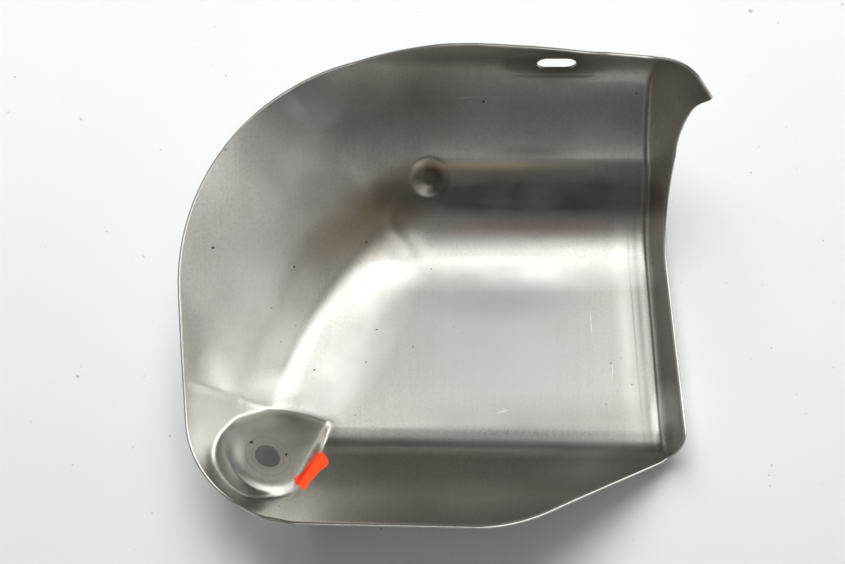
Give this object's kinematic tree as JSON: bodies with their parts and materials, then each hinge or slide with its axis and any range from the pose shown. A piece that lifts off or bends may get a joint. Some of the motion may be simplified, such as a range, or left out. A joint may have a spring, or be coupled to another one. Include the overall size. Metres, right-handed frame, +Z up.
{
  "type": "exhaust heat shield",
  "caption": "Deep pressed stainless sheet pan with a half-pipe wall, rounded left end, turned-up flange, corner boss with a bolt hole and a slotted pad at the rim.",
  "frame": {"origin": "middle of the footprint at the underside of the flat floor", "axes": "+X along the half-pipe wall towards the turned-up flange, +Y towards the slotted rim, +Z up out of the open pan"},
  "size_m": [0.1612, 0.1472, 0.0564],
  "materials": {
    "stainless_sheet": "bare stainless sheet, drawn and lightly heat-stained, satin"
  },
  "bodies": {
    "root": {"heat_shield": "stainless_sheet"}
  },
  "joints": []
}
